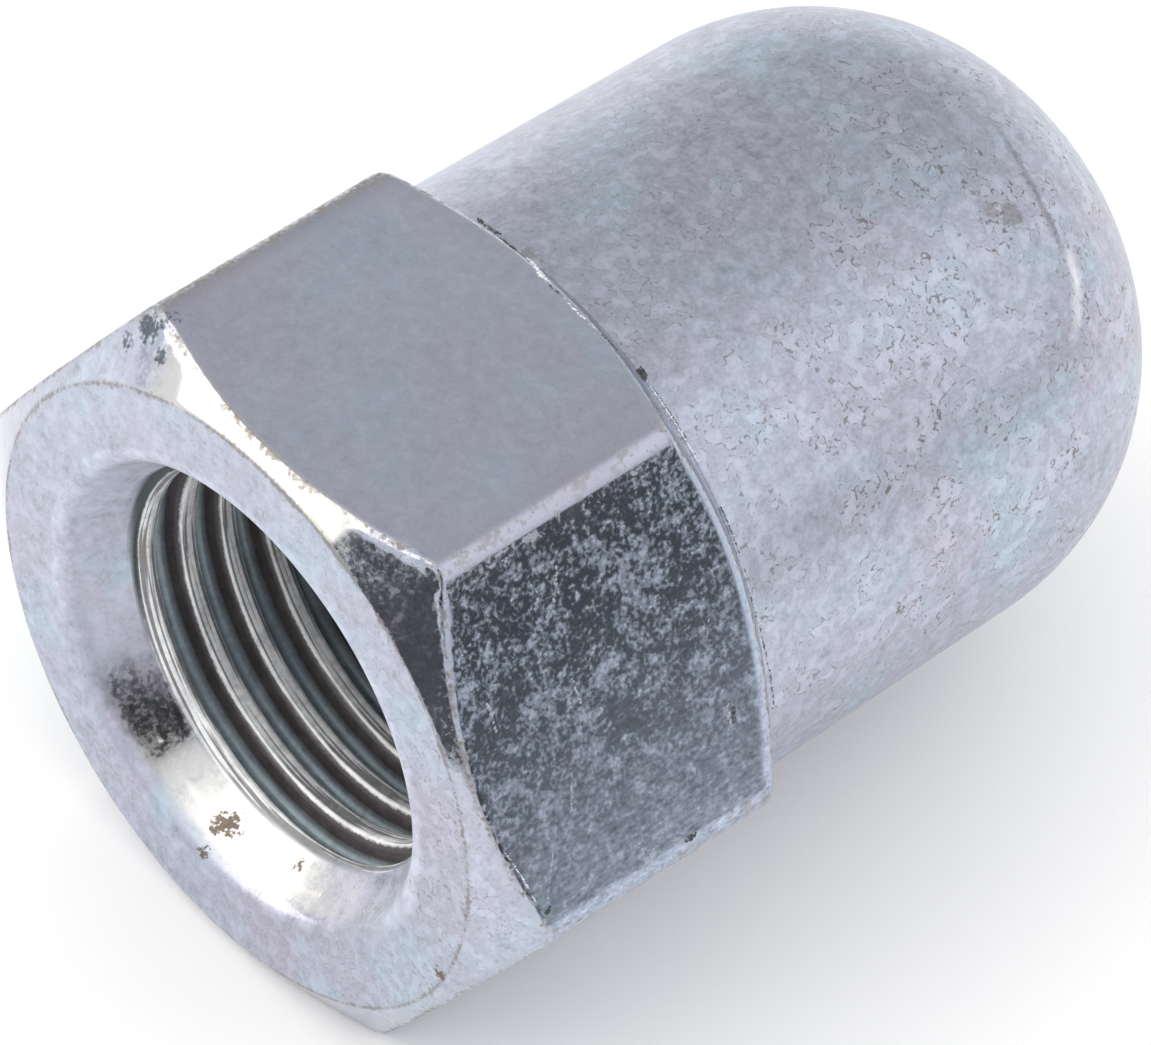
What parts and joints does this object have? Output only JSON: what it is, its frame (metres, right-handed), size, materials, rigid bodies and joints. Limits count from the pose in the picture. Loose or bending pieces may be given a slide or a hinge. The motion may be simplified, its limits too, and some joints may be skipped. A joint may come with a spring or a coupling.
{
  "type": "domed cap nut",
  "caption": "Hexagon nut whose blind threaded hole is closed by a tall barrel with a round end, to cover a stud's end.",
  "frame": {"origin": "centre of the bearing face, where the nut's axis leaves the mouth of its hole", "axes": "+X along the nut's axis from the mouth to the dome, +Z square to the upper flat, +Y towards a corner of the hexagon"},
  "size_m": [0.0315, 0.024, 0.021],
  "materials": {
    "zinc_plated_steel": "satin"
  },
  "bodies": {
    "root": {"cap_nut": "zinc_plated_steel"}
  },
  "joints": []
}
